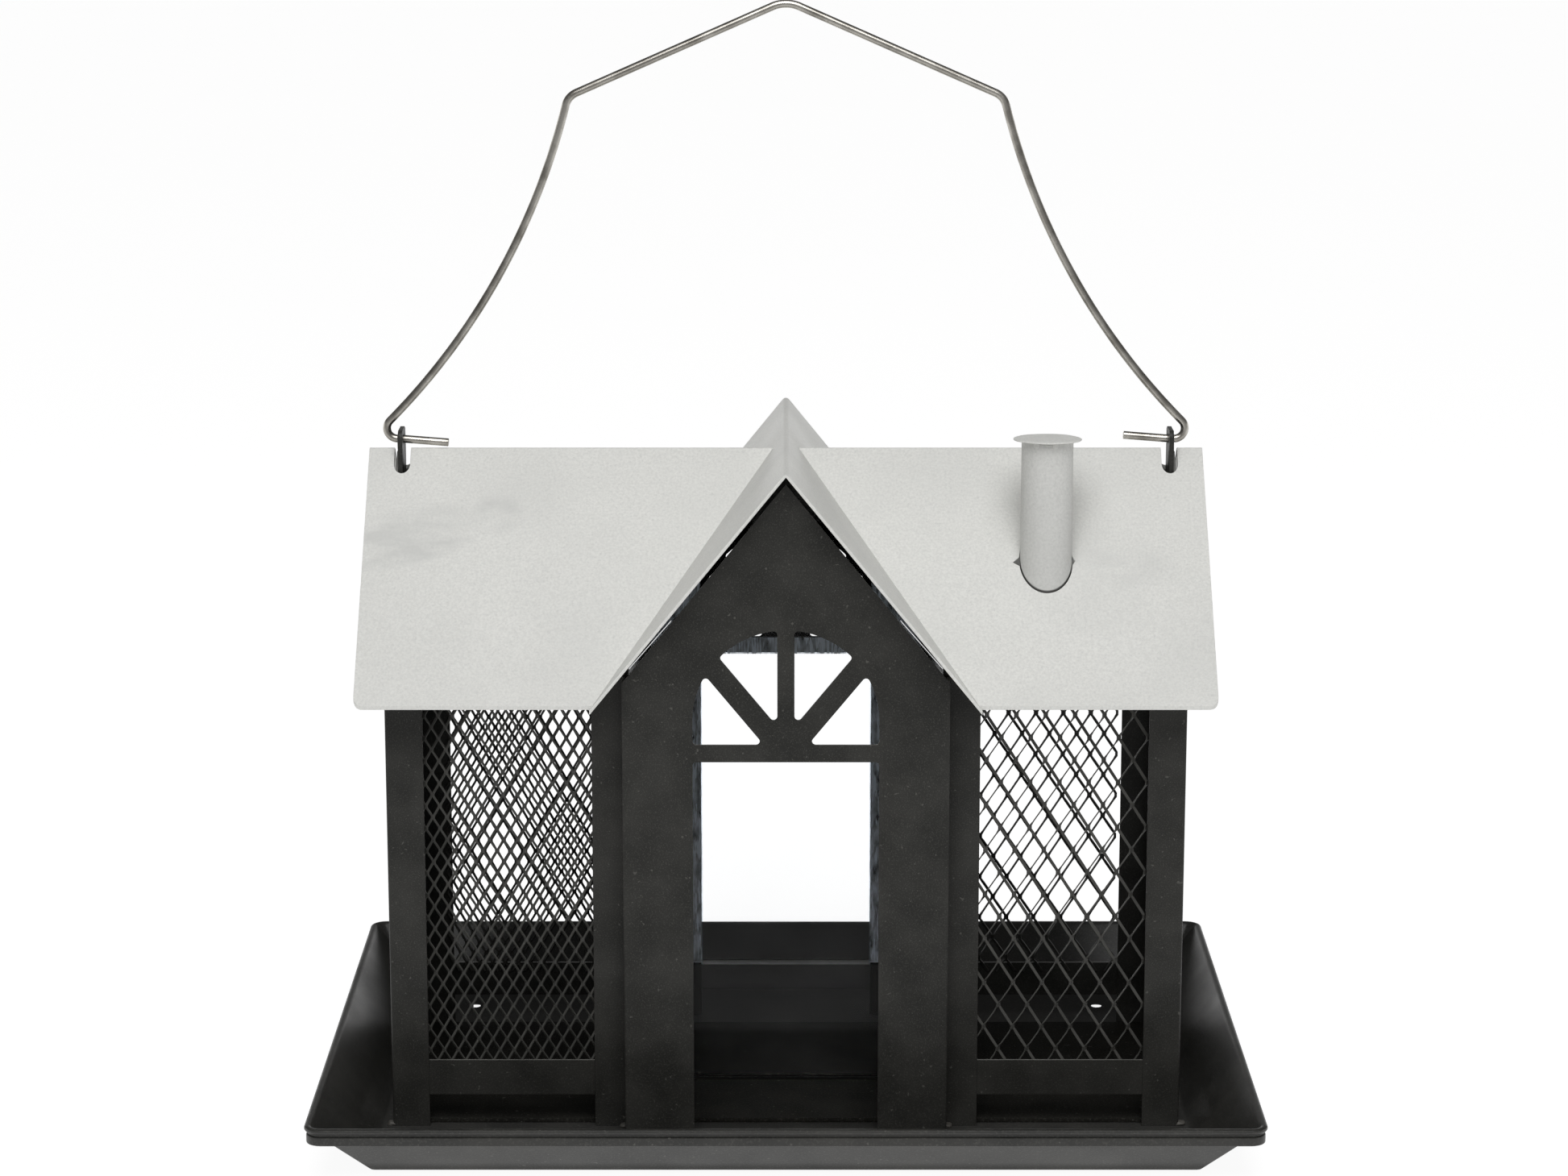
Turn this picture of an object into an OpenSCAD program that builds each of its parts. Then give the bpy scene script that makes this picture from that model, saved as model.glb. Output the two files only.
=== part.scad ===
// Hanging bird feeder house: a sheet-metal house with two wire-mesh cages and a clear-fronted
// seed hopper, standing in a catch tray and hung from a swinging wire bail.
// Origin: centre of the tray's underside. +X is the feeder's right, +Y its back, +Z is up.

/* [Tray] */
// Width of the tray over its rolled rim
tray_w = 300; // [280:1:340]
// Depth of the tray over its rolled rim
tray_d = 219; // [205:1:240]
// Height of the rim above the underside
tray_h = 20.4; // [16:0.2:30]
// How far each side leans outward between the floor and the rim
tray_run = 17; // [12:1:22]
// Radius of the rim's corners seen from above
rim_corner_r = 5.5; // [4:0.5:8]
// Depth of the folded band that hangs outside the rim
rim_band = 5.6; // [4.5:0.1:7]
// Diameter of the four drain holes
drain_d = 3.6; // [2.5:0.1:6]
// Distance of the drain holes from the centre, sideways
drain_x = 110; // [105:1:118]
// Distance of the drain holes from the centre, front to back
drain_y = 71; // [66:1:80]

/* [House] */
// Width of the house over its corner posts
house_w = 255; // [235:1:258]
// Depth of the house over its corner posts
house_d = 103.6; // [96:0.2:110]
// Thickness of the sheet metal
sheet = 0.8; // [0.6:0.1:1.2]
// Width of the posts' legs
post_w = 12; // [9:0.5:14]
// Height of the posts' tops
post_top = 159; // [154:1:160]
// Height of the horizontal rails
rail_h = 11.8; // [8:0.2:14]
// Gap under the lower rails, where seed runs out onto the tray
seed_gap = 11.5; // [8:0.5:14]
// Height of the upper rails' lower edge
upper_rail_z = 146; // [143:0.5:147]

/* [Porch] */
// Width of the two porch fronts
porch_w = 103.5; // [98:0.5:108]
// Distance of the porch fronts from the centre
porch_y = 62; // [58:0.5:64]
// Height of the porch's vertical edges, where the sloped edges start
shoulder_z = 151; // [145:0.5:152]
// Width of the door opening
door_w = 59; // [50:0.5:64]
// Height of the door opening's top
door_top = 125.6; // [118:0.2:128]
// Height of the bar between the door and the fanlight
transom_h = 5.6; // [4:0.2:8]
// Height of the centre of the fanlight's arch
arch_z = 138.8; // [136:0.2:141]
// Width of the fanlight's upright spoke
spoke_w = 5.4; // [4:0.2:7]
// Angle of the fanlight's slanting spokes above the horizontal
spoke_angle = 50.6; // [45:0.2:55]
// How much higher the back porch's opening reaches than the front one's
back_lift = 6.4; // [0:0.2:6.6]
// Thickness of the clear panes
pane_t = 2; // [1.5:0.1:2]
// Height of the panes' lower edge above the tray
pane_z = 20; // [15:0.5:24]

/* [Mesh] */
// Width of one diamond in the fine mesh of the left cage
fine_pitch_x = 4.45; // [4:0.05:6]
// Height of one diamond in the fine mesh
fine_pitch_z = 7.4; // [6:0.1:9]
// Strand width of the fine mesh
fine_strand = 0.8; // [0.6:0.05:1]
// Width of one diamond in the coarse mesh of the right cage
coarse_pitch_x = 9.3; // [8.4:0.1:11]
// Height of one diamond in the coarse mesh
coarse_pitch_z = 14.6; // [13:0.1:16]
// Strand width of the coarse mesh
coarse_strand = 1.1; // [0.8:0.05:1.4]

/* [Roof] */
// Length of the main roof
roof_w = 271.2; // [262:0.2:280]
// Distance of the eaves from the centre
eave_y = 70.1; // [66:0.1:74]
// How much sooner the main roof's slopes end than the cross gable's
eave_trim = 1.3; // [0:0.1:3]
// Height of the eaves
eave_z = 144.4; // [142:0.2:148]
// Height of the main ridge
ridge_z = 215.4; // [210:0.2:216]
// Height of the cross gable's ridge
gable_z = 220.2; // [217:0.2:224]
// Half the width of the cross gable at the eaves
gable_x = 61.6; // [58:0.2:66]
// Thickness of the roof's sheets
roof_t = 1; // [0.8:0.1:1.2]
// Length of the slots for the hanger lugs, across the ridge
slot_len = 14.6; // [14:0.2:18]
// Width of those slots
slot_w = 5.2; // [4:0.2:6]

/* [Chimney] */
// Diameter of the chimney's tube
chimney_d = 16.5; // [12:0.5:20]
// Distance of the chimney from the centre, sideways
chimney_x = 83.2; // [76:0.2:95]
// Distance of the chimney in front of the ridge
chimney_y = 31; // [26:0.5:40]
// Height of the tube's top
chimney_top = 223.2; // [215:0.2:226]
// Diameter of the cap
cap_d = 21.8; // [19:0.2:26]

/* [Bail] */
// Diameter of the bail's wire
wire_d = 2.6; // [2:0.1:3]
// Height of the axis that the bail swings on
pivot_z = 218; // [217.6:0.1:219]
// Distance of the wire's inner ends from the centre
leg_inner_x = 109.8; // [100:0.2:115]
// Radius of the eyes' holes in the hanger lugs
eye_r = 1.65; // [1.6:0.05:2]
// Half the width of the hanger lugs
lug_half_w = 6.2; // [5:0.1:6.5]
// Thickness of the hanger lugs
lug_t = 1.5; // [1:0.1:2]

/* [Hidden] */
BLACK = [0.17, 0.17, 0.16];
ROOF = [0.84, 0.84, 0.82];
STEEL = [0.55, 0.54, 0.5];
CLEAR = [0.8, 0.87, 0.93, 0.35];
$fn = 48;

over = 1;                       // how far a cutter runs past what it cuts
rim_t = 2;                      // depth of the rolled rim, seen from above
bead_h = 1.8;                   // height of the rim's upper roll
groove_h = 0.8;                 // height of the groove under that roll
groove_in = 1.1;                // how far the groove lies behind the roll's outer face
band_in = 0.6;                  // how far the folded band lies behind the roll's outer face
side_rise = tray_h - 1.2;       // height where the sloping sides run into the roll
floor_x = tray_w / 2 - rim_t - tray_run;
floor_y = tray_d / 2 - rim_t - tray_run;

hx = house_w / 2;               // outer faces of the house, sideways
hy = house_d / 2;               // outer faces of the house, front and back
overlap = 3;                    // how far the mesh reaches behind posts and rails
mesh_t = 1;                     // thickness of the mesh
mesh_edge = 1.5;                // plain edge round each sheet of mesh
rail_top = seed_gap + rail_h;
base_h = 2.4;                   // height of the base plate's top
base_x = hx - 2;                // outer faces of the base plate, sideways
base_y = hy - 3;                // outer faces of the base plate, front and back
mesh_z0 = rail_top - overlap;   // height of the mesh's lower edge
mesh_h = upper_rail_z + overlap - mesh_z0;

porch_x = porch_w / 2;          // outer faces of the porch's sides
porch_post_x = porch_x - 1.9;   // inner edge of the porch posts
pane_x = porch_x - 2.4;         // side edges of the panes
pane_y = porch_y - sheet;       // outer faces of the panes
cage_x0 = porch_post_x + post_w;
cage_x1 = hx - post_w;

main_slope = (ridge_z - eave_z) / eave_y;
gable_slope = (gable_z - eave_z) / gable_x;
main_drop = roof_t * sqrt(1 + main_slope * main_slope);     // the roof's thickness, straight down
gable_drop = roof_t * sqrt(1 + gable_slope * gable_slope);
valley_x = (gable_z - ridge_z) / gable_slope;               // half width of the gable at the main ridge
under_ridge = ridge_z - main_drop;
slot_x = hx - 2.8;              // middle of the slots for the hanger lugs, sideways
cutter_z = eave_z - 10;         // height from which the roof's sheets are cut to their plan

lug_top = 3.4;                  // height of a lug's top above the bail's axis
gable_end_x = hx - 2 * sheet;   // inner face of the plates in the house's ends
lug_x = gable_end_x - lug_t;
chimney_wall = 0.8;             // thickness of the chimney's tube

bend_x = 126.3;                 // where the bail's leg ends and its outer bend starts
bend_r = 3.5;
bend_turn = 134.9;
side_r = 224.5;
side_turn = 30.4;
shoulder_r = 6;
apex_r = 11;
apex_turn = 23.6;
knuckle = 0.1;                  // how much the wire swells where a bend starts or ends

// Height of the main roof's underside at a distance y from the ridge
function under_roof(y) = under_ridge - main_slope * abs(y);

// Flat strip or block between its lowest and highest corners
module plate(low, high) {
    translate(low)
        cube(high - low);
}

// Children mirrored to the left or right, and to the front or back
module placed(side, end) {
    mirror([side < 0 ? 1 : 0, 0, 0])
        mirror([0, end < 0 ? 1 : 0, 0])
            children();
}

module rounded_rectangle(half_x, half_y, r) {
    square([2 * half_x, 2 * (half_y - r)], center = true);
    square([2 * (half_x - r), 2 * half_y], center = true);
    for (sx = [-1, 1], sy = [-1, 1])
        translate([sx * (half_x - r), sy * (half_y - r)])
            circle(r = r);
}

// One ring of the tray's rim, between two heights
module rim_ring(outset, inset, z0, z1) {
    translate([0, 0, z0])
        linear_extrude(z1 - z0)
            difference() {
                rounded_rectangle(tray_w / 2 - outset, tray_d / 2 - outset, rim_corner_r - outset);
                rounded_rectangle(tray_w / 2 - inset, tray_d / 2 - inset, rim_corner_r - inset);
            }
}

// Sloping side of the tray at +Y, mitred at both ends
module tray_side(half_len, half_pos) {
    slope = side_rise / tray_run;
    drop = sheet * sqrt(1 + slope * slope);
    intersection() {
        translate([-(half_len + tray_run), half_pos, 0])
            rotate([90, 0, 90])
                linear_extrude(2 * (half_len + tray_run))
                    polygon([
                        [-over, 0], [0, 0], [tray_run, side_rise], [tray_run, side_rise + drop],
                        [(sheet - drop) / slope, sheet], [-over, sheet]
                    ]);
        linear_extrude(tray_h)
            polygon([
                [-half_len + over, half_pos - over], [half_len - over, half_pos - over],
                [half_len + tray_run, half_pos + tray_run], [-half_len - tray_run, half_pos + tray_run]
            ]);
    }
}

module tray() {
    color(BLACK)
        union() {
            difference() {
                plate([-floor_x, -floor_y, 0], [floor_x, floor_y, sheet]);
                for (sx = [-1, 1], sy = [-1, 1])
                    translate([sx * drain_x, sy * drain_y, -over])
                        cylinder(d = drain_d, h = sheet + 2 * over);
            }
            for (turn = [0, 180])
                rotate(turn)
                    tray_side(floor_x, floor_y);
            for (turn = [90, 270])
                rotate(turn)
                    tray_side(floor_y, floor_x);
            rim_ring(0, rim_t, tray_h - bead_h, tray_h);
            rim_ring(groove_in, rim_t, tray_h - bead_h - groove_h, tray_h - bead_h);
            rim_ring(band_in, rim_t, tray_h - rim_band, tray_h - bead_h - groove_h);
        }
}

// Inner floor of the house, with its edges turned down onto the tray
module base_plate() {
    color(BLACK)
        difference() {
            plate([-base_x, -base_y, sheet], [base_x, base_y, base_h]);
            plate([-base_x + sheet, -base_y + sheet, sheet - over],
                  [base_x - sheet, base_y - sheet, base_h - sheet]);
        }
}

// L-section post in one corner of the house
module corner_post(side, end) {
    color(BLACK)
        placed(side, end)
            union() {
                plate([cage_x1, hy - sheet, sheet], [hx, hy, post_top]);
                plate([hx - sheet, hy - post_w, sheet], [hx, hy, post_top]);
            }
}

// Flat post between a cage and the porch
module porch_post(side, end) {
    color(BLACK)
        placed(side, end)
            plate([porch_post_x, hy - sheet, sheet], [cage_x0, hy, post_top]);
}

// Rail between two posts of the front or the back
module long_rail(side, end, z) {
    color(BLACK)
        placed(side, end)
            plate([cage_x0, hy - sheet, z], [cage_x1, hy, z + rail_h]);
}

// Rail between the two posts of one end
module end_rail(side, z) {
    color(BLACK)
        placed(side, 1)
            plate([hx - sheet, post_w - hy, z], [hx, hy - post_w, z + rail_h]);
}

// Sheet of expanded metal, centred on X, standing on Y = 0, with rows of diamonds side by side
module expanded_metal(w, h, pitch_x, pitch_z, strand) {
    half_x = pitch_x / 2;
    half_z = pitch_z / 2;
    shrink = 1 - strand * norm([half_x, half_z]) / (2 * half_x * half_z);
    across = floor((w - 2 * mesh_edge) / pitch_x);
    up = floor((h - 2 * mesh_edge) / pitch_z);
    difference() {
        translate([-w / 2, 0])
            square([w, h]);
        for (row = [0 : 2 * up - 2], col = [0 : across - 1 - row % 2])
            translate([
                (col - (across - 1 - row % 2) / 2) * pitch_x,
                h / 2 + (row - up + 1) * half_z
            ])
                polygon([
                    [-half_x * shrink, 0], [0, -half_z * shrink],
                    [half_x * shrink, 0], [0, half_z * shrink]
                ]);
    }
}

// Mesh of a cage's front or back, fixed inside its posts and rails
module long_mesh(side, end, pitch_x, pitch_z, strand) {
    color(BLACK)
        placed(side, end)
            translate([(cage_x0 + cage_x1) / 2, hy - sheet, mesh_z0])
                rotate([90, 0, 0])
                    linear_extrude(mesh_t)
                        expanded_metal(cage_x1 - cage_x0 + 2 * overlap, mesh_h, pitch_x, pitch_z, strand);
}

// Mesh of a cage's outer end
module end_mesh(side, pitch_x, pitch_z, strand) {
    color(BLACK)
        placed(side, 1)
            translate([hx - sheet - mesh_t, 0, mesh_z0])
                rotate([90, 0, 90])
                    linear_extrude(mesh_t)
                        expanded_metal(house_d - 2 * post_w + 2 * overlap, mesh_h, pitch_x, pitch_z, strand);
}

// Solid wall between a cage and the seed hopper, reaching up under the roof
module hopper_wall(side) {
    wall_y = hy - sheet;
    clear = 1;
    color(BLACK)
        placed(side, 1)
            translate([porch_post_x, 0, 0])
                rotate([90, 0, 90])
                    linear_extrude(sheet)
                        polygon([
                            [-wall_y, base_h], [wall_y, base_h], [wall_y, under_roof(wall_y) - clear],
                            [0, under_roof(0) - clear], [-wall_y, under_roof(wall_y) - clear]
                        ]);
}

// Outline of a porch front, without its openings
module porch_outline() {
    apex = shoulder_z + porch_x * gable_slope;
    polygon([
        [-porch_x, sheet], [porch_x, sheet], [porch_x, shoulder_z],
        [0, apex], [-porch_x, shoulder_z]
    ]);
}

// Half-round light above the transom, in the shape of a whole opening
module fanlight() {
    half = door_w / 2;
    translate([0, arch_z])
        intersection() {
            circle(r = half, $fn = 64);
            translate([-half, 0])
                square([door_w, half]);
        }
    translate([-half, door_top + transom_h])
        square([door_w, arch_z - door_top - transom_h]);
}

// Bars that divide the fanlight into four lights
module spokes() {
    reach = door_w;
    hub_z = door_top + transom_h;
    hub_half = 6.9;
    hub_drop = 1.7;
    upper = [spoke_w / 2, arch_z - hub_drop];
    lower = [hub_half, hub_z];
    along = reach * [cos(spoke_angle), sin(spoke_angle)];
    translate([-spoke_w / 2, hub_z])
        square([spoke_w, reach]);
    for (side = [-1, 1])
        scale([side, 1])
            polygon([[0, hub_z], lower, lower + along, upper + along, upper, [0, upper[1]]]);
}

// How far the opening at that end is raised
function opening_lift(end) = end > 0 ? back_lift : 0;

// Porch front with its two sides folded back to the posts
module porch(end) {
    light_r = 1.2;
    lift = opening_lift(end);
    color(BLACK)
        placed(1, end)
            union() {
                translate([0, porch_y, 0])
                    rotate([90, 0, 0])
                        linear_extrude(sheet)
                            difference() {
                                porch_outline();
                                translate([-door_w / 2, 0])
                                    square([door_w, door_top + lift - light_r]);
                                translate([-door_w / 2 + light_r, 0])
                                    square([door_w - 2 * light_r, door_top + lift]);
                                for (side = [-1, 1])
                                    translate([side * (door_w / 2 - light_r), door_top + lift - light_r])
                                        circle(r = light_r, $fn = 24);
                                translate([0, lift])
                                    offset(r = light_r, $fn = 24)
                                        offset(delta = -light_r)
                                            difference() {
                                                fanlight();
                                                spokes();
                                            }
                            }
                for (x = [-porch_x, porch_x - sheet])
                    plate([x, hy, sheet], [x + sheet, porch_y - sheet, shoulder_z]);
            }
}

// Clear pane behind a porch front, which covers the opening up to the arch
module pane(end) {
    side_top = 155.5;
    cover = 2.7;
    slant = 1.16;
    top = arch_z + door_w / 2 + opening_lift(end) + cover;
    top_x = pane_x - (top - side_top) / slant;
    color(CLEAR)
        placed(1, end)
            translate([0, pane_y, 0])
                rotate([90, 0, 0])
                    linear_extrude(pane_t)
                        polygon([
                            [-pane_x, pane_z], [pane_x, pane_z], [pane_x, side_top],
                            [top_x, top], [-top_x, top], [-pane_x, side_top]
                        ]);
}

// Pair of angle strips that hold a pane against the porch front, each with a shelf under the pane
module pane_guides(end) {
    back_y = pane_y - pane_t;
    wall_x = porch_x - sheet;
    lip = 4.5;
    post_gap = 0.6;
    color(BLACK)
        for (side = [-1, 1])
            placed(side, end)
                union() {
                    plate([wall_x - lip, back_y - sheet, pane_z - sheet], [wall_x, back_y, shoulder_z]);
                    plate([wall_x - sheet, hy + post_gap, pane_z - sheet], [wall_x, back_y, shoulder_z]);
                    plate([wall_x - lip, back_y - sheet, pane_z - sheet], [wall_x, pane_y, pane_z]);
                }
}

// Plate that closes the triangle under the roof at one end and carries the roof
module gable_end(side) {
    low = upper_rail_z + overlap;
    wide = hy - sheet;
    color(BLACK)
        placed(side, 1)
            translate([gable_end_x, 0, 0])
                rotate([90, 0, 90])
                    linear_extrude(sheet)
                        polygon([
                            [-wide, low], [wide, low], [wide, under_roof(wide)],
                            [0, under_roof(0)], [-wide, under_roof(wide)]
                        ]);
}

// Strap that stands out through the roof's slot and holds the bail in its eye
module hanger_lug(side) {
    foot_z = 190;
    top_z = pivot_z + lug_top;
    round_r = 2.4;
    color(BLACK)
        placed(side, 1)
            translate([lug_x, 0, 0])
                rotate([90, 0, 90])
                    linear_extrude(lug_t)
                        difference() {
                            union() {
                                translate([-lug_half_w, foot_z])
                                    square([2 * lug_half_w, top_z - round_r - foot_z]);
                                translate([-lug_half_w + round_r, foot_z])
                                    square([2 * (lug_half_w - round_r), top_z - foot_z]);
                                for (corner = [-1, 1])
                                    translate([corner * (lug_half_w - round_r), top_z - round_r])
                                        circle(r = round_r);
                            }
                            translate([0, pivot_z])
                                circle(r = eye_r);
                        }
}

// The part of the plan that the cross gable covers
module gable_plan() {
    polygon([
        [-gable_x, -eave_y], [gable_x, -eave_y], [valley_x, 0],
        [gable_x, eave_y], [-gable_x, eave_y], [-valley_x, 0]
    ]);
}

// Roof over one cage, cut off at the gable's valleys and slotted for the hanger lug
module cage_roof(side) {
    end_x = roof_w / 2;
    low_y = eave_y - eave_trim;
    low_z = eave_z + eave_trim * main_slope;
    placed(side, 1)
        difference() {
            rotate([90, 0, 90])
                linear_extrude(end_x)
                    polygon([
                        [-low_y, low_z], [0, ridge_z], [low_y, low_z],
                        [low_y, low_z - main_drop], [0, under_ridge], [-low_y, low_z - main_drop]
                    ]);
            translate([0, 0, cutter_z])
                linear_extrude(ridge_z)
                    gable_plan();
            translate([slot_x, 0, eave_z])
                linear_extrude(ridge_z)
                    union() {
                        square([slot_w, slot_len - slot_w], center = true);
                        for (end = [-1, 1])
                            translate([0, end * (slot_len - slot_w) / 2])
                                circle(d = slot_w);
                    }
        }
}

module left_roof() {
    color(ROOF)
        cage_roof(-1);
}

module right_roof() {
    color(ROOF)
        difference() {
            cage_roof(1);
            translate([chimney_x, -chimney_y, eave_z])
                cylinder(d = chimney_d, h = ridge_z);
        }
}

// Cross gable over the porches, bent from one sheet
module gable_roof() {
    color(ROOF)
        intersection() {
            translate([0, eave_y, 0])
                rotate([90, 0, 0])
                    linear_extrude(2 * eave_y)
                        polygon([
                            [-gable_x, eave_z], [0, gable_z], [gable_x, eave_z],
                            [gable_x, eave_z - gable_drop], [0, gable_z - gable_drop],
                            [-gable_x, eave_z - gable_drop]
                        ]);
            translate([0, 0, cutter_z])
                linear_extrude(ridge_z)
                    gable_plan();
        }
}

module chimney_tube() {
    foot_z = 167;
    color(ROOF)
        translate([chimney_x, -chimney_y, foot_z])
            difference() {
                cylinder(d = chimney_d, h = chimney_top - foot_z);
                translate([0, 0, -over])
                    cylinder(d = chimney_d - 2 * chimney_wall, h = chimney_top - foot_z + 2 * over);
            }
}

// Disc on the chimney, with a plug that sits inside the tube
module chimney_cap() {
    disc_h = 1.2;
    plug_h = 3;
    color(ROOF)
        translate([chimney_x, -chimney_y, chimney_top])
            union() {
                cylinder(d = cap_d, h = disc_h);
                translate([0, 0, -plug_h])
                    cylinder(d = chimney_d - 2 * chimney_wall, h = plug_h);
            }
}

// Tacks of weld that hold the posts' feet and the porch's sides to the tray
module weld_beads() {
    bead_r = 1.9;
    color(BLACK)
        for (side = [-1, 1], end = [-1, 1])
            placed(side, end) {
                intersection() {
                    translate([hx, hy - bead_r, sheet])
                        sphere(r = bead_r, $fn = 24);
                    plate([hx, 0, sheet], [hx + 2 * bead_r, hy + bead_r, 2 * bead_r]);
                }
                intersection() {
                    translate([porch_x, hy, sheet])
                        sphere(r = bead_r, $fn = 24);
                    plate([porch_x, hy, sheet], [porch_x + 2 * bead_r, hy + 2 * bead_r, 2 * bead_r]);
                }
            }
}

// A place and heading along the bail's wire, in the plane y = 0: [x, z, heading]
function left_of(pose, r) = [pose[0] - r * sin(pose[2]), pose[1] + r * cos(pose[2])];
function arc_end(pose, r, turn) =
    let (c = left_of(pose, r), a = pose[2] + turn)
    [c[0] + r * sin(a), c[1] - r * cos(a), a];
function line_end(pose, length) =
    [pose[0] + length * cos(pose[2]), pose[1] + length * sin(pose[2]), pose[2]];

// Bent wire that turns left from a place by an angle; a negative radius turns right
module wire_arc(pose, r, turn) {
    c = left_of(pose, r);
    start = turn > 0 ? pose[2] - 90 : pose[2] + turn + 90;
    translate([c[0], 0, c[1]])
        rotate([90, 0, 0])
            rotate(start)
                rotate_extrude(angle = abs(turn), $fn = 96)
                    translate([abs(r), 0])
                        circle(d = wire_d, $fn = 24);
}

module wire_line(pose, length) {
    translate([pose[0], 0, pose[1]])
        rotate([0, 90 - pose[2], 0])
            cylinder(d = wire_d, h = length, $fn = 24);
}

// Slight swelling that the bending tool leaves where the wire starts or ends a bend
module wire_knuckle(pose) {
    translate([pose[0], 0, pose[1]])
        sphere(d = wire_d + knuckle, $fn = 24);
}

// Wire bail: legs in the lugs' eyes, bowed sides, two shoulders and a pointed top to hang by
module bail() {
    leg = [leg_inner_x, pivot_z, 0];
    bend = line_end(leg, bend_x - leg_inner_x);
    side = arc_end(bend, bend_r, bend_turn);
    shoulder = arc_end(side, -side_r, -side_turn);
    shoulder_turn = 180 - apex_turn - shoulder[2];
    top = arc_end(shoulder, shoulder_r, shoulder_turn);
    top_len = (top[0] - apex_r * sin(apex_turn)) / cos(apex_turn);
    apex = line_end(top, top_len);
    color(STEEL)
        union() {
            for (half = [0, 1])
                mirror([half, 0, 0]) {
                    wire_line(leg, bend_x - leg_inner_x);
                    wire_arc(bend, bend_r, bend_turn);
                    wire_arc(side, -side_r, -side_turn);
                    wire_arc(shoulder, shoulder_r, shoulder_turn);
                    wire_line(top, top_len);
                    for (pose = [bend, side, shoulder, top, apex])
                        wire_knuckle(pose);
                }
            wire_arc(apex, apex_r, 2 * apex_turn);
        }
}

tray();
base_plate();
corner_post(-1, -1);  // front_left_post
corner_post(1, -1);  // front_right_post
corner_post(-1, 1);  // back_left_post
corner_post(1, 1);  // back_right_post
porch_post(-1, -1);  // front_left_porch_post
porch_post(1, -1);  // front_right_porch_post
porch_post(-1, 1);  // back_left_porch_post
porch_post(1, 1);  // back_right_porch_post
long_rail(-1, -1, seed_gap);  // front_left_lower_rail
long_rail(1, -1, seed_gap);  // front_right_lower_rail
long_rail(-1, 1, seed_gap);  // back_left_lower_rail
long_rail(1, 1, seed_gap);  // back_right_lower_rail
end_rail(-1, seed_gap);  // left_end_lower_rail
end_rail(1, seed_gap);  // right_end_lower_rail
long_rail(-1, -1, upper_rail_z);  // front_left_upper_rail
long_rail(1, -1, upper_rail_z);  // front_right_upper_rail
long_rail(-1, 1, upper_rail_z);  // back_left_upper_rail
long_rail(1, 1, upper_rail_z);  // back_right_upper_rail
end_rail(-1, upper_rail_z);  // left_end_upper_rail
end_rail(1, upper_rail_z);  // right_end_upper_rail
long_mesh(-1, -1, fine_pitch_x, fine_pitch_z, fine_strand);  // front_left_mesh
long_mesh(-1, 1, fine_pitch_x, fine_pitch_z, fine_strand);  // back_left_mesh
end_mesh(-1, fine_pitch_x, fine_pitch_z, fine_strand);  // left_end_mesh
long_mesh(1, -1, coarse_pitch_x, coarse_pitch_z, coarse_strand);  // front_right_mesh
long_mesh(1, 1, coarse_pitch_x, coarse_pitch_z, coarse_strand);  // back_right_mesh
end_mesh(1, coarse_pitch_x, coarse_pitch_z, coarse_strand);  // right_end_mesh
hopper_wall(-1);  // left_hopper_wall
hopper_wall(1);  // right_hopper_wall
porch(-1);  // front_porch
porch(1);  // back_porch
pane(-1);  // front_pane
pane(1);  // back_pane
pane_guides(-1);  // front_pane_guides
pane_guides(1);  // back_pane_guides
gable_end(-1);  // left_gable_end
gable_end(1);  // right_gable_end
hanger_lug(-1);  // left_hanger_lug
hanger_lug(1);  // right_hanger_lug
left_roof();
right_roof();
gable_roof();
chimney_tube();
chimney_cap();
weld_beads();
bail();
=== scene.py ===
"""Looks of the hanging bird feeder house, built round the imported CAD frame.
Metres, with +X to the feeder's right, +Y to its back and +Z up."""

import math
import random

import bmesh
import bpy
from mathutils import Matrix, Vector, geometry, noise


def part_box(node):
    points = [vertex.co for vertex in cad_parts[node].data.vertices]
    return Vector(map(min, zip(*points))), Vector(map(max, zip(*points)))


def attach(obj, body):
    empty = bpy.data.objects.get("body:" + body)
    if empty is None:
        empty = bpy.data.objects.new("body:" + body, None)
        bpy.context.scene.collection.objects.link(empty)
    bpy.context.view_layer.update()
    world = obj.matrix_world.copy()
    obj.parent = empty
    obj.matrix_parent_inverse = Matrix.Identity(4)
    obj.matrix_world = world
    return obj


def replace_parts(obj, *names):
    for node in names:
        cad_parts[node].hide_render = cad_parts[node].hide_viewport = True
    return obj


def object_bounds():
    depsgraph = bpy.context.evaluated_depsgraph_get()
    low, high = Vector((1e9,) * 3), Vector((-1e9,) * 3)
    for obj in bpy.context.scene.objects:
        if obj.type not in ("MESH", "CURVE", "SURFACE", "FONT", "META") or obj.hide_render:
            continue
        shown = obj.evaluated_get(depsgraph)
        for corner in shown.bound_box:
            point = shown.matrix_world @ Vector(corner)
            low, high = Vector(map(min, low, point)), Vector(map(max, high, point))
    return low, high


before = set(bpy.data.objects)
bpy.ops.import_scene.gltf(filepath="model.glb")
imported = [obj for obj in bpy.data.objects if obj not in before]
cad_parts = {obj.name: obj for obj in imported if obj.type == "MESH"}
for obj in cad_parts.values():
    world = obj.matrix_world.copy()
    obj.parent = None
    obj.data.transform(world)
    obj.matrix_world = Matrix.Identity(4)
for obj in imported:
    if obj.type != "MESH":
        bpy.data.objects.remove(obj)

CAD_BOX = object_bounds()
MM = 0.001
HOUSE = "house"
BAIL = "bail"
SEED = 7

# How near a corner lies to a plane or line that it counts as being on
NEAR = 0.1 * MM

# Refraction of the panes; middle and half height of the strip behind the back porch's transom
PANE_IOR = 1.11
PANE_BAND = (0.1348, 0.0029)
# Distances from the middle over which the pane passes behind the back door opening's side
PANE_SIDE = (0.0291, 0.0297)

# Height where the panes' dirty lower edge ends, and heights over which the frosted one fades
PANE_DIRT = 0.0207
PANE_FROST = (0.0207, 0.0212)

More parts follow.
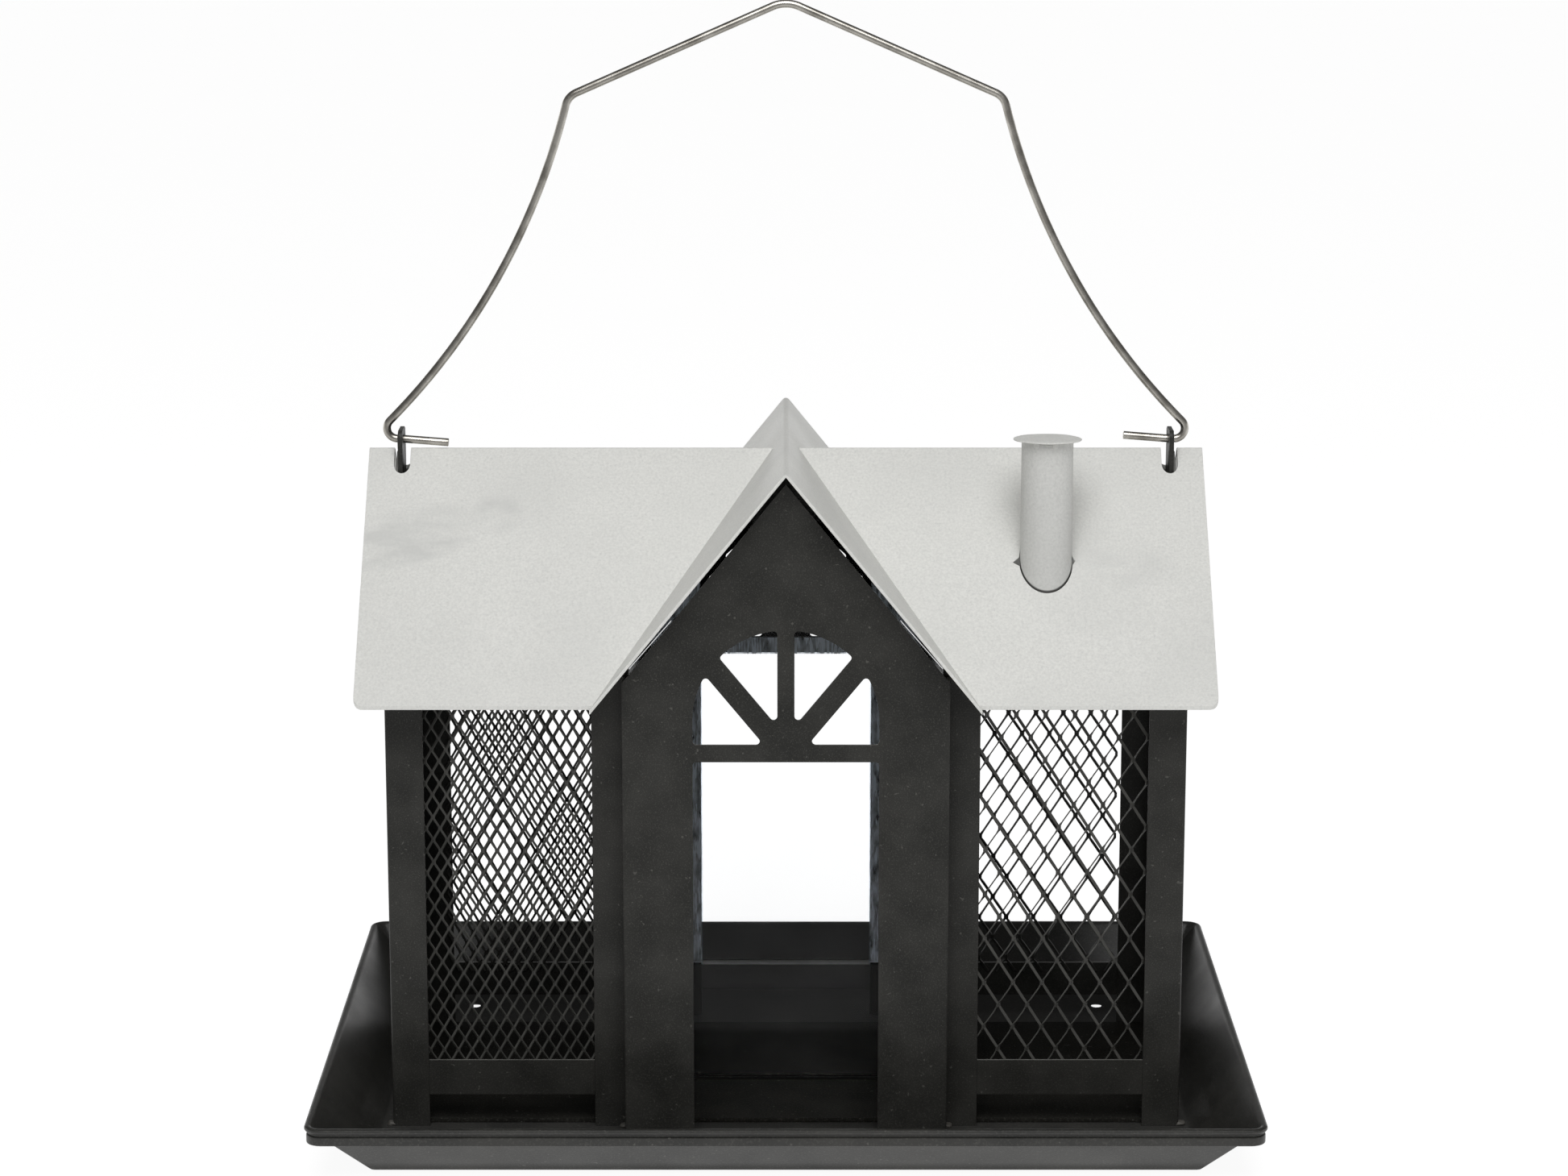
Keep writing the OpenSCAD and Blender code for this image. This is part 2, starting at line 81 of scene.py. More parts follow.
# Heights between which the tray's dusty floor gives way to its cleaner slopes
FLOOR_BAND = (0.0012, 0.0040)

# Rubbed marks on the roof's paint: place, reach along the oval's axes, lean in degrees, strength
SMEARS = (
    ((-0.121, -0.022, 0.1925), (0.024, 0.03, 0.0070), -9, 0.72),
    ((-0.119, -0.029, 0.1860), (0.021, 0.03, 0.0034), -12, 0.95),
    ((-0.093, -0.018, 0.1965), (0.0090, 0.03, 0.0066), 0, 0.75),
    ((0.108, -0.030, 0.184), (0.020, 0.03, 0.0090), 20, 0.35),
)

# Camera, from a fit to the photograph
CAMERA_PLACE = (0, -1.2962, 0.4560)
CAMERA_TILT = math.radians(77.40)
CAMERA_LENS, CAMERA_SENSOR = 92.85, 36
CAMERA_REACH = 50
CAMERA_SHIFT = (-0.0012, 0.00365)

# Light: radiance of the white sweep and of the dim room above it, in front and behind;
# heights over which one turns into the other, and how far round each changes
SWEEP_FRONT, SWEEP_BACK = 0.42, 1.5
ROOM_FRONT, ROOM_BACK = 0.18, 0.14
SWEEP_TOP = (0.10, 0.20)
FLOOR_GLOW, FLOOR_GLOW_FRONT = 0.93, 0.30
SWEEP_SPREAD, ROOM_SPREAD = 0.4, 0.8
SKY_TINT = (1.0, 1.0, 0.995, 1)
TOP_LIGHT_PLACE, TOP_LIGHT_SIZE, TOP_LIGHT_WATTS = (0.0, -1.10, 1.55), 1.3, 24.5
TOP_LIGHT_TARGET = (0, 0, 0.15)

# Floor: half its size, its cells, the gap below the tray, and where in front its glow fades
FLOOR_HALF, FLOOR_CELLS = 6, 12
FLOOR_GAP = 0.2 * MM
GLOW_FADE = (-0.9, -0.15)

# Colours, linear
BLACK_DEEP = (0.0170, 0.0170, 0.0152)
BLACK_WORN = (0.0300, 0.0296, 0.0268)
SPECK = (0.11, 0.108, 0.098)
DUST = (0.055, 0.052, 0.045)
TRAY_DEEP = (0.0140, 0.0140, 0.0126)
TRAY_WORN = (0.0230, 0.0227, 0.0205)
# Black made darker for the base plate inside the house: painted shade, as it lies under the roof
SHADED_FLOOR_DEEP = (0.0085, 0.0082, 0.0068)
SHADED_FLOOR_WORN = (0.0140, 0.0134, 0.0112)
MESH_DEEP = (0.034, 0.034, 0.031)
MESH_WORN = (0.060, 0.059, 0.054)
WELD_DEEP = (0.040, 0.038, 0.034)
WELD_WORN = (0.085, 0.080, 0.070)
# Paler black on the sheets' narrow upward edges: a painted highlight
EDGE_HIGHLIGHT_DEEP = (0.095, 0.094, 0.088)
EDGE_HIGHLIGHT_PALE = (0.165, 0.163, 0.152)
PAINT_PALE = (0.74, 0.74, 0.71)
PAINT_DULL = (0.64, 0.64, 0.615)
PAINT_SMUDGE = (0.56, 0.563, 0.545)
# The tube's paint is the roof's made darker: painted shade on its upright sides, which get less light
# than the roof
TUBE_PALE = (0.66, 0.66, 0.638)
TUBE_DULL = (0.57, 0.572, 0.552)
TUBE_SMUDGE = (0.50, 0.503, 0.488)
STEEL_LIGHT = (0.50, 0.48, 0.44)
STEEL_DARK = (0.24, 0.225, 0.20)
PLASTIC = (0.996, 0.998, 1.0)
# Bluish tint of the back pane's haze and scratches and of the reflection painted over them
PLASTIC_HAZE_AND_REFLECTION = (0.82, 0.91, 1.0)
EDGE_DIRT = (0.007, 0.007, 0.0065)
# Painted shade for the gap round the chimney's foot
SEAM_SHADE = (0.035, 0.034, 0.031)
# The painted shade in the gap round the chimney's foot: its strength, and heights above the roof over
# which it fades, in mm
SEAM_STRENGTH, SEAM_BAND = 0.95, (0.15, 0.65)
FLOOR_WHITE = (0.15, 0.15, 0.15)
FLOOR_TONE = (0.17, 0.17, 0.17)


# ---------------------------------------------------------------- materials

RANGE_SOCKETS = ("Value", "From Min", "From Max", "To Min", "To Max")


class Surface:
    """A Principled material whose textures lie in object space and are sized in millimetres."""

    def __init__(self, name, **sockets):
        self.material = bpy.data.materials.new(name)
        self.material.use_nodes = True
        self.tree = self.material.node_tree
        self.shader = self.tree.nodes["Principled BSDF"]
        self.place = self.node("ShaderNodeTexCoord").outputs["Object"]
        for socket, value in sockets.items():
            self.shader.inputs[socket.replace("_", " ")].default_value = value

    def node(self, kind, **inputs):
        made = self.tree.nodes.new(kind)
        for key, value in inputs.items():
            self.feed(made.inputs[key.replace("_", " ")], value)
        return made

    def feed(self, socket, value):
        if isinstance(value, bpy.types.NodeSocket):
            self.tree.links.new(value, socket)
        elif hasattr(value, "__len__") and len(value) == 3 and socket.type == "RGBA":
            socket.default_value = (*value, 1)
        else:
            socket.default_value = value

    def noise(self, size_mm, detail=2.0, stretch=(1, 1, 1)):
        """Cloudy values about 0.5, with features of that size; stretch below 1 draws them out."""
        moved = self.node("ShaderNodeMapping", Vector=self.place, Scale=stretch)
        made = self.node("ShaderNodeTexNoise", Scale=1 / (size_mm * MM), Detail=detail)
        self.feed(made.inputs["Vector"], moved.outputs["Vector"])
        return made.outputs["Fac"]

    def span(self, value, low, high, start=0.0, end=1.0):
        """Value taken from low..high to start..end, and held at the ends."""
        made = self.node("ShaderNodeMapRange")
        for key, amount in zip(RANGE_SOCKETS, (value, low, high, start, end)):
            self.feed(made.inputs[key], amount)
        return made.outputs["Result"]

    def blend(self, amount, first, second):
        """Colour between first and second."""
        made = self.tree.nodes.new("ShaderNodeMix")
        made.data_type = "RGBA"
        self.feed(made.inputs[0], amount)
        self.feed(made.inputs[6], first)
        self.feed(made.inputs[7], second)
        return made.outputs[2]

    def maths(self, operation, first, second):
        made = self.tree.nodes.new("ShaderNodeMath")
        made.operation = operation
        self.feed(made.inputs[0], first)
        self.feed(made.inputs[1], second)
        return made.outputs[0]

    def axis(self, letter):
        """One object-space coordinate, in metres."""
        return self.node("ShaderNodeSeparateXYZ", Vector=self.place).outputs[letter]

    def blob(self, place, reach, lean_deg=0.0):
        """1 in the middle of a soft oval round a place, falling to 0 at its reach, in metres."""
        lean = (0, math.radians(lean_deg), 0)
        moved = self.node("ShaderNodeMapping", Vector=self.place)
        moved.vector_type = "TEXTURE"
        for key, value in (("Location", place), ("Rotation", lean), ("Scale", reach)):
            moved.inputs[key].default_value = value
        length = self.tree.nodes.new("ShaderNodeVectorMath")
        length.operation = "LENGTH"
        self.feed(length.inputs[0], moved.outputs["Vector"])
        return self.span(length.outputs["Value"], 0.55, 1.0, 1.0, 0.0)

    def bump(self, height, depth_mm, over=None):
        made = self.node("ShaderNodeBump", Height=height, Strength=1.0, Distance=depth_mm * MM)
        if over is not None:
            self.feed(made.inputs["Normal"], over)
        return made.outputs["Normal"]

    def finish(self, **links):
        for socket, value in links.items():
            self.feed(self.shader.inputs[socket.replace("_", " ")], value)
        return self.material


def powder_black(name, dull, gloss, dust, grain_mm=0.45, floor_dull=None,
                 tones=(BLACK_DEEP, BLACK_WORN)):
    """Satin black powder coat: mottled, with fine grain, light specks and some dust.
    floor_dull is how rough the dusty lowest 2 mm are, where that differs."""
    made = Surface(name, Specular_IOR_Level=gloss)
    mottle = made.span(made.noise(size_mm=14, detail=4), 0.35, 0.65)
    colour = made.blend(mottle, *tones)
    grain = made.noise(size_mm=grain_mm, detail=2)
    colour = made.blend(made.span(grain, 0.52, 0.80, 0.0, 0.36), colour, SPECK)
    specks = made.span(made.noise(size_mm=1.5, detail=1), 0.735, 0.78)
    colour = made.blend(made.maths("MULTIPLY", specks, 0.55), colour, SPECK)
    film = made.span(made.noise(size_mm=38, detail=5), 0.42, 0.72, 0.0, dust)
    colour = made.blend(film, colour, DUST)
    rough = made.span(made.noise(size_mm=22, detail=4), 0.3, 0.7, dull - 0.07, dull + 0.07)
    if floor_dull:
        height = made.span(made.axis("Z"), *FLOOR_BAND)
        rough = made.maths("MULTIPLY", rough, height)
        rough = made.maths("ADD", rough, made.span(height, 0, 1, floor_dull, 0))
    waves = made.bump(made.noise(size_mm=30, detail=2), depth_mm=0.10)
    relief = made.bump(grain, depth_mm=0.022, over=waves)
    return made.finish(Base_Color=colour, Roughness=rough, Normal=relief)


def roof_paint(name, pale, dull, smudge, shaded_seam=False):
    """Pale warm grey paint with a fine texture, faint clouds and a few rubbed smears.
    A painted shade, for the shadow in the gap round the chimney, darkens it along the right roof's
    front slope and below."""
    made = Surface(name, Specular_IOR_Level=0.35)
    grain = made.noise(size_mm=0.8, detail=3)
    colour = made.blend(made.span(grain, 0.30, 0.70), dull, pale)
    specks = made.span(made.noise(size_mm=0.9, detail=2), 0.58, 0.74, 0.0, 0.55)
    colour = made.blend(specks, colour, smudge)
    clouds = made.span(made.noise(size_mm=42, detail=4), 0.42, 0.70, 0.0, 0.30)
    colour = made.blend(clouds, colour, smudge)
    rubbed = made.span(made.noise(size_mm=6, detail=4, stretch=(0.4, 1, 1)), 0.30, 0.60)
    for place, reach, lean, depth in SMEARS:
        spot = made.blob(place, reach, lean)
        worn = made.maths("MULTIPLY", made.maths("MULTIPLY", spot, rubbed), depth)
        colour = made.blend(worn, colour, smudge)
    if shaded_seam:
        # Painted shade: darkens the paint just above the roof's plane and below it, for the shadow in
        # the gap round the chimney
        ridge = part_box("right_roof")[1].z
        rise = made.maths("MULTIPLY", made.axis("Y"), roof_slope())
        over = made.maths("SUBTRACT", made.axis("Z"), rise)
        low, high = (ridge + height * MM for height in SEAM_BAND)
        seam = made.span(over, low, high, SEAM_STRENGTH, 0.0)
        colour = made.blend(seam, colour, SEAM_SHADE)
    rough = made.span(made.noise(size_mm=25, detail=4), 0.3, 0.7, 0.42, 0.58)
    waves = made.bump(made.noise(size_mm=45, detail=2), depth_mm=0.14)
    relief = made.bump(grain, depth_mm=0.045, over=waves)
    return made.finish(Base_Color=colour, Roughness=rough, Normal=relief)


def steel_wire():
    """Bare drawn wire: fine die lines along it, dull spots and a darker, warmer tone in places."""
    made = Surface("wire_steel", Metallic=1.0)
    marks = made.span(made.noise(size_mm=7, detail=4), 0.40, 0.72)
    colour = made.blend(marks, STEEL_LIGHT, STEEL_DARK)
    spots = made.span(made.noise(size_mm=0.9, detail=3), 0.62, 0.74, 0.0, 0.5)
    colour = made.blend(spots, colour, STEEL_DARK)
    fine = made.noise(size_mm=0.35, detail=3)
    rough = made.span(made.noise(size_mm=4, detail=3), 0.3, 0.7, 0.22, 0.34)
    return made.finish(Base_Color=colour, Roughness=rough, Normal=made.bump(fine, depth_mm=0.006))


def clear_plastic():
    """Clear acrylic. The back pane is hazy and scratched where it lies on the porch front, with
    bluish streaks of painted reflection over that; its lower edge is frosted between the sides;
    all other lower edges are dirty."""
    made = Surface("pane_plastic", IOR=PANE_IOR)
    at_back = made.maths("GREATER_THAN", made.axis("Y"), 0.0)
    side = made.span(made.maths("ABSOLUTE", made.axis("X"), 0.0), *PANE_SIDE)
    band = made.maths("COMPARE", made.axis("Z"), PANE_BAND[0])
    band.node.inputs[2].default_value = PANE_BAND[1]
    edge = made.maths("MULTIPLY", made.maths("MAXIMUM", side, band), at_back)
    # Painted reflection: bluish streaks over the back pane's real haze and scratches, where it lies
    # on the porch front
    streak_noise = made.noise(size_mm=2.2, detail=5, stretch=(1.0, 1.0, 0.35))
    streaks = made.span(streak_noise, 0.34, 0.68, 0.22, 0.95)
    rubbed = made.noise(size_mm=0.7, detail=2, stretch=(1.0, 1.0, 0.10))
    scratches = made.span(rubbed, 0.54, 0.66, 0.0, 1.0)
    scratches_and_reflection = made.maths("MULTIPLY", edge, made.maths("ADD", streaks, scratches))
    film = made.span(made.noise(size_mm=18, detail=4), 0.40, 0.75, 0.001, 0.005)
    haze_and_reflection = made.maths("MAXIMUM", scratches_and_reflection, film)
    low = made.maths("LESS_THAN", made.axis("Z"), PANE_DIRT)
    not_clean = made.maths("MAXIMUM", made.maths("SUBTRACT", 1.0, at_back), side)
    dirty = made.maths("MULTIPLY", low, not_clean)
    frost = made.span(made.axis("Z"), *PANE_FROST, 1.0, 0.0)
    clear = made.maths("SUBTRACT", 1.0, made.maths("MAXIMUM", haze_and_reflection, dirty))
    colour = made.blend(made.span(haze_and_reflection, 0.006, 0.05), PLASTIC, PLASTIC_HAZE_AND_REFLECTION)
    colour = made.blend(dirty, colour, EDGE_DIRT)
    rough = made.span(made.noise(size_mm=9, detail=3), 0.3, 0.7, 0.01, 0.04)
    rough = made.maths("MAXIMUM", rough, made.maths("MAXIMUM", dirty, frost))
    return made.finish(Base_Color=colour, Transmission_Weight=clear, Roughness=rough)


def pale_floor():
    """White studio floor, lit through from below, less so in front."""
    made = Surface("floor_white", Emission_Color=(1, 1, 1, 1))
    tone = made.blend(made.noise(size_mm=400, detail=2), FLOOR_WHITE, FLOOR_TONE)
    glow = made.span(made.axis("Y"), *GLOW_FADE, FLOOR_GLOW_FRONT, FLOOR_GLOW)
    return made.finish(Base_Color=tone, Roughness=0.9, Emission_Strength=glow)


def make_materials():
    """Finishes by name. A slot has the finish of its own name unless a piece asks for another."""
    return {
        "frame_metal": powder_black("frame_black", dull=0.46, gloss=0.24, dust=0.10),
        "porch_metal": powder_black("porch_black", dull=0.48, gloss=0.24, dust=0.06),
        "tray_metal": powder_black(
            "tray_black", dull=0.36, gloss=0.42, dust=0.22, grain_mm=0.6, floor_dull=0.70,
            tones=(TRAY_DEEP, TRAY_WORN),
        ),
        # The base plate's darker copy of the black: painted shade inside the house
        "shaded_floor": powder_black(
            "shaded_floor_black", dull=0.70, gloss=0.10, dust=0.06, grain_mm=0.6,
            tones=(SHADED_FLOOR_DEEP, SHADED_FLOOR_WORN),
        ),
        "mesh_metal": powder_black(
            "mesh_black", dull=0.42, gloss=0.45, dust=0.25, grain_mm=0.3,
            tones=(MESH_DEEP, MESH_WORN),
        ),
        # A painted highlight for the sheets' narrow upward edges, with some dust
        "edge_highlight": powder_black(
            "edge_highlight_black", dull=0.42, gloss=0.50, dust=0.20, grain_mm=0.5,
            tones=(EDGE_HIGHLIGHT_DEEP, EDGE_HIGHLIGHT_PALE),
        ),
        "weld": powder_black(
            "weld_black", dull=0.55, gloss=0.40, dust=0.60, grain_mm=0.8,
            tones=(WELD_DEEP, WELD_WORN),
        ),
        "roof_paint": roof_paint("roof_pale", PAINT_PALE, PAINT_DULL, PAINT_SMUDGE),
        # The chimney's darker copy of the roof paint is painted shade on its upright sides
        "chimney_paint": roof_paint(
            "chimney_pale", TUBE_PALE, TUBE_DULL, TUBE_SMUDGE, shaded_seam=True
        ),
        "wire": steel_wire(),
        "clear_plastic": clear_plastic(),
    }


# ---------------------------------------------------------------- mesh helpers

def new_piece(name, bm, slot, body=HOUSE, sharp_deg=35, finish=None):
    """Object from a bmesh, shaded smooth up to an angle, with its material and body."""
    bmesh.ops.recalc_face_normals(bm, faces=bm.faces)
    limit = math.radians(sharp_deg)
    for face in bm.faces:
        face.smooth = True
    for edge in bm.edges:
        edge.smooth = len(edge.link_faces) == 2 and edge.calc_face_angle(0) < limit
    mesh = bpy.data.meshes.new(name)
    bm.to_mesh(mesh)
    bm.free()
    piece = bpy.data.objects.new(name, mesh)
    bpy.context.scene.collection.objects.link(piece)
    mesh.materials.append(MATERIALS[finish or slot])
    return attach(piece, body)


def flat_shading_aid(piece):
    """Keeps large flat faces flat beside their rounded edges."""
    aid = piece.modifiers.new("flat_faces", "WEIGHTED_NORMAL")
    aid.keep_sharp = True
    aid.weight = 90
    return piece


FLAT_DEG, MERGE = 0.6, 0.002


def node_mesh(node):
    """A CAD node's mesh with its flat faces whole again."""
    bm = bmesh.new()
    bm.from_mesh(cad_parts[node].data)
    bmesh.ops.remove_doubles(bm, verts=bm.verts, dist=MERGE * MM)
    bmesh.ops.dissolve_limit(
        bm, angle_limit=math.radians(FLAT_DEG), verts=bm.verts, edges=bm.edges,
        use_dissolve_boundaries=False,
    )
    return bm


def sharp_edges(bm, least_deg=40):
    limit = math.radians(least_deg)
    return [e for e in bm.edges if len(e.link_faces) == 2 and e.calc_face_angle(0) > limit]


def round_edges(bm, edges, radius, steps):
    if edges:
        bmesh.ops.bevel(
            bm, geom=edges, offset=radius, offset_type="OFFSET", segments=steps,
            profile=0.5, affect="EDGES", clamp_overlap=True,
        )


def folded_piece(name, node, slot, fold_test, fold_r, edge_r, finish=None):
    """Sheet-metal piece from a CAD node, with rounded folds and slightly rounded edges."""
    bm = node_mesh(node)
    round_edges(bm, [e for e in sharp_edges(bm) if fold_test(e)], fold_r, 4)
    round_edges(bm, sharp_edges(bm), edge_r, 2)
    piece = flat_shading_aid(new_piece(name, bm, slot, finish=finish))
    # Painted highlight on the narrow upward edges of the black sheets
    if slot != "roof_paint" and not finish:
        highlight_top_edges(piece.data)
    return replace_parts(piece, node)


def highlight_top_edges(mesh):
    """Paler paint on the sheets' narrow upward edges: a painted highlight where the light from above
    catches them.
    """
    mesh.materials.append(MATERIALS["edge_highlight"])
    for face in mesh.polygons:
        corners = [mesh.vertices[k].co for k in face.vertices]
        spread = [max(c[i] for c in corners) - min(c[i] for c in corners) for i in (0, 1)]
        if face.normal.z > HIGHLIGHT_LEVEL and min(spread) < HIGHLIGHT_WIDTH * MM:
            face.material_index = 1


# Least upward lean of a face, and its greatest width in mm, for the painted highlight on edges
HIGHLIGHT_LEVEL, HIGHLIGHT_WIDTH = 0.5, 1.3


def middle(edge):
    return (edge.verts[0].co + edge.verts[1].co) / 2


def direction(edge):
    return (edge.verts[1].co - edge.verts[0].co).normalized()


def outer_upright(node):
    """Test for the upright edges at the node's corner furthest from the middle."""
    low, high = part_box(node)
    far_x = max(abs(low.x), abs(high.x)) - NEAR
    far_y = max(abs(low.y), abs(high.y)) - NEAR

    def test(edge):
        at = middle(edge)
        return abs(direction(edge).z) > 0.99 and abs(at.x) > far_x and abs(at.y) > far_y

    return test


def no_fold(_):
    return False


# ---------------------------------------------------------------- frame and porches

FOLD_R, PORCH_FOLD_R = 0.75, 0.70
EDGE_R, PORCH_EDGE_R, FLOOR_EDGE_R, LUG_EDGE_R, ROOF_EDGE_R = 0.16, 0.14, 0.30, 0.22, 0.16


def plain_sheet(node):
    folded_piece(f"{node}_sheet", node, "frame_metal", no_fold, 0, EDGE_R * MM)


def make_frame():
    for end in ("front", "back"):
        for side in ("left", "right"):
            post = f"{end}_{side}_post"
            folded_piece(
                f"{post}_sheet", post, "frame_metal", outer_upright(post), FOLD_R * MM, EDGE_R * MM
            )
            for plain in ("porch_post", "lower_rail", "upper_rail"):
                plain_sheet(f"{end}_{side}_{plain}")
        porch = f"{end}_porch"
        folded_piece(
            f"{porch}_sheet", porch, "porch_metal", outer_upright(porch),
            PORCH_FOLD_R * MM, PORCH_EDGE_R * MM,
        )
    for side in ("left", "right"):
        for plain in ("end_lower_rail", "end_upper_rail", "gable_end"):
            plain_sheet(f"{side}_{plain}")
    # The base plate takes the darker black, as painted shade under the roof
    folded_piece(
        "base_plate_sheet", "base_plate", "frame_metal", no_fold, 0, FLOOR_EDGE_R * MM,
        "shaded_floor",
    )


# Rates and depths of the noise that tears the straps' edges and waves their faces
LUG_TEARS, LUG_TEAR_DEPTH = ((420, 0.16), (1300, 0.08)), 0.12
LUG_WAVE_RATE, LUG_WAVE_DEPTH = 700, 0.12


def make_lugs():
    """Straps with torn, unevenly painted edges."""
    for side in ("left", "right"):
        node = f"{side}_hanger_lug"
        bm = node_mesh(node)
        round_edges(bm, sharp_edges(bm), LUG_EDGE_R * MM, 2)
        long_edges = [e for e in bm.edges if e.calc_length() > 2 * MM]
        bmesh.ops.subdivide_edges(bm, edges=long_edges, cuts=6)
        for vert in bm.verts:
            shift = sum(noise.noise(vert.co * rate) * depth for rate, depth in LUG_TEARS)
            vert.co.y *= 1 - shift * LUG_TEAR_DEPTH
            vert.co.x += noise.noise(vert.co * LUG_WAVE_RATE) * LUG_WAVE_DEPTH * MM
        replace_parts(new_piece(f"{side}_lug_strap", bm, "frame_metal"), node)


def carry_over():
    """CAD nodes whose shape is right: they only take a material."""
    kept = {
        "front_pane": "clear_plastic", "back_pane": "clear_plastic",
        "front_pane_guides": "frame_metal", "back_pane_guides": "frame_metal",
        "left_hopper_wall": "frame_metal", "right_hopper_wall": "frame_metal",
    }
    for node, slot in kept.items():
        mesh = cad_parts[node].data
        mesh.materials.clear()
        mesh.materials.append(MATERIALS[slot])


# ---------------------------------------------------------------- tray

TRAY_WALL = 0.8
TRAY_CORNER = 5.5
TRAY_MITRE = 0.9
TRAY_CORNER_STEPS = 7
DRAIN_R = 1.8
DRAIN_FLARE = 1.7
DRAIN_IN_X, DRAIN_IN_Y = 40, 38.5


def tray_profile():
    """(distance in from the rim's outside, height) round the tray's sheet, in mm, from its
    underside to its inner floor."""
    underside = [(20.1, 0.0), (19.5, 0.10), (18.9, 0.42), (18.35, 0.98)]
    outside = [(12.0, 8.1), (5.9, 15.0), (3.5, 17.7)]
    band_inside = [(1.75, 17.75), (1.45, 17.4), (1.45, 15.3)]
    band = [
        (1.3, 14.93), (1.0, 14.8), (0.72, 14.93), (0.6, 15.3), (0.6, 17.25), (0.72, 17.6),
        (1.05, 17.75),
    ]
    groove = [(1.2, 17.9), (1.2, 18.45)]
    roll = [
        (0.75, 18.6), (0.32, 18.85), (0.07, 19.2), (0.0, 19.6), (0.12, 20.0), (0.42, 20.27),
        (0.85, 20.4), (1.35, 20.4), (1.85, 20.25), (2.3, 19.9),
    ]
    inside = [
        (2.75, 19.42), (6.6, 15.1), (12.7, 8.2), (18.9, 1.45), (19.4, 1.05), (20.0, 0.85),
        (20.7, TRAY_WALL),
    ]
    return underside + outside + band_inside + band + groove + roll + inside


def tray_ring(bm, inset, height, half_x, half_y):
    """Rounded rectangle of vertices, that far in from the rim's outside."""
    radius = max(TRAY_CORNER - inset, TRAY_MITRE)
    steps = TRAY_CORNER_STEPS
    ring = []
    for sx, sy, start in ((1, 1, 0), (-1, 1, 90), (-1, -1, 180), (1, -1, 270)):
        for step in range(steps):
            turn = math.radians(start + 90 * step / (steps - 1))
            x = sx * (half_x - inset - radius) + radius * math.cos(turn)
            y = sy * (half_y - inset - radius) + radius * math.sin(turn)
            ring.append(bm.verts.new((x * MM, y * MM, height * MM)))
    return ring


def join_rings(bm, lower, upper):
    count = len(lower)
    for i in range(count):
        bm.faces.new((lower[i], lower[(i + 1) % count], upper[(i + 1) % count], upper[i]))


def pierced_plate(bm, outline, height, holes, facets=20):
    """Fills an outline at one height, but for round holes, and returns the holes' rings."""
    turns = [2 * math.pi * k / facets for k in range(facets)]
    rings = [
        [bm.verts.new((x + r * math.cos(turn), y + r * math.sin(turn), height)) for turn in turns]
        for x, y, r in holes
    ]
    loops = [outline] + rings
    verts = [v for loop in loops for v in loop]
    edges, start = [], 0
    for loop in loops:
        edges += [(start + k, start + (k + 1) % len(loop)) for k in range(len(loop))]
        start += len(loop)
    flat = [Vector((v.co.x, v.co.y)) for v in verts]
    found = geometry.delaunay_2d_cdt(flat, edges, [], 1, 1e-7)
    for triangle in found[2]:
        centre = sum((found[0][k] for k in triangle), Vector((0, 0))) / 3
        if all((centre - Vector((x, y))).length > r * 0.98 for x, y, r in holes):
            bm.faces.new([verts[found[3][k][0]] for k in triangle])
    return rings


def make_tray():
    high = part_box("tray")[1]
    half_x, half_y = high.x / MM, high.y / MM
    bm = bmesh.new()
    rings = [tray_ring(bm, inset, height, half_x, half_y) for inset, height in tray_profile()]
    for lower, upper in zip(rings, rings[1:]):
        join_rings(bm, lower, upper)
    drain_x, drain_y = half_x - DRAIN_IN_X, half_y - DRAIN_IN_Y
    holes = [
        (sx * drain_x * MM, sy * drain_y * MM, DRAIN_R * MM) for sx in (-1, 1) for sy in (-1, 1)
    ]
    flared = [(x, y, r + DRAIN_FLARE * MM) for x, y, r in holes]
    below = pierced_plate(bm, rings[0], 0, flared)
    above = pierced_plate(bm, rings[-1], TRAY_WALL * MM, holes)
    for first, second in zip(below, above):
        join_rings(bm, first, second)
    piece = new_piece("tray_sheet", bm, "tray_metal", HOUSE, 28)
    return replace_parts(flat_shading_aid(piece), "tray")


# ---------------------------------------------------------------- expanded metal

class Strand:
    """Section and set of one kind of expanded metal's strands, in mm and degrees."""

    def __init__(self, width, thick, bond, tilt, twist):
        self.width, self.thick, self.bond = width, thick, bond
        self.tilt, self.twist = math.radians(tilt), math.radians(twist)


class Lattice:
    """Diamonds of one sheet: their strands, width and height, and one's lower tip, in mm."""

    def __init__(self, strand, pitch_u, pitch_z, tip_u, tip_z):
        self.strand = strand
        self.pitch_u, self.pitch_z = pitch_u, pitch_z
        self.tip_u, self.tip_z = tip_u, tip_z


FINE = Strand(0.78, 0.38, 0.90, 40, 3)
COARSE = Strand(0.92, 0.40, 1.25, 45, 28)
SHEETS = {
    "front_left_mesh": Lattice(FINE, 4.515, 7.436, -112.81, 126.69),
    "back_left_mesh": Lattice(FINE, 4.418, 7.362, -108.72, 130.05),
    "left_end_mesh": Lattice(FINE, 4.45, 7.4, 0.0, 127.5),
    "front_right_mesh": Lattice(COARSE, 9.341, 14.837, 73.24, 49.08),
    "back_right_mesh": Lattice(COARSE, 9.408, 14.608, 76.50, 54.64),
    "right_end_mesh": Lattice(COARSE, 9.3, 14.6, 0.0, 50.4),
}
STRAND_STEPS = (0.0, 0.22, 0.78)


